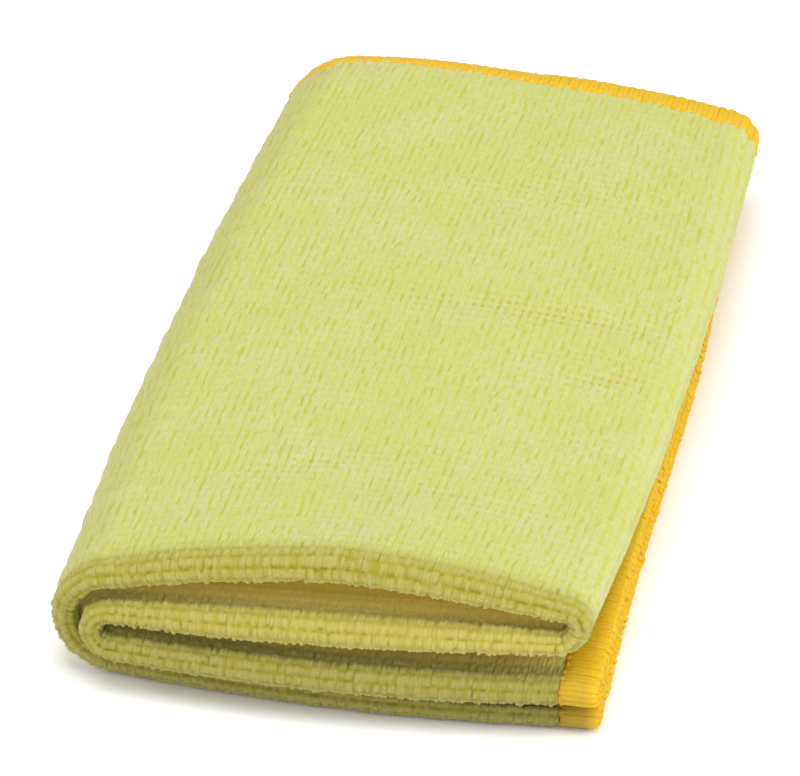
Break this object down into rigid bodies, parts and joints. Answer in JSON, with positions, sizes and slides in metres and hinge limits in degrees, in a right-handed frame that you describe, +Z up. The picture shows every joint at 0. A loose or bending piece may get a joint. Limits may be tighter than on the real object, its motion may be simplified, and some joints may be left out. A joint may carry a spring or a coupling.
{
  "type": "folded microfibre cloth",
  "caption": "Square terry microfibre cleaning cloth with an overlocked edge, folded into a long stacked pad and laid flat on a table.",
  "frame": {"origin": "on the table, under the middle of the folded stack", "axes": "+Z up; +Y along the stack, from the creased end in front to the cut edges at the back; +X across it, towards the right-hand fold"},
  "size_m": [0.1058, 0.2066, 0.0327],
  "materials": {
    "terry_microfibre": "short matt pile, pale yellow-green",
    "overlock_thread": "close thread stitches, orange yellow"
  },
  "bodies": {
    "root": {"cloth": "terry_microfibre", "edging": "overlock_thread"}
  },
  "joints": []
}
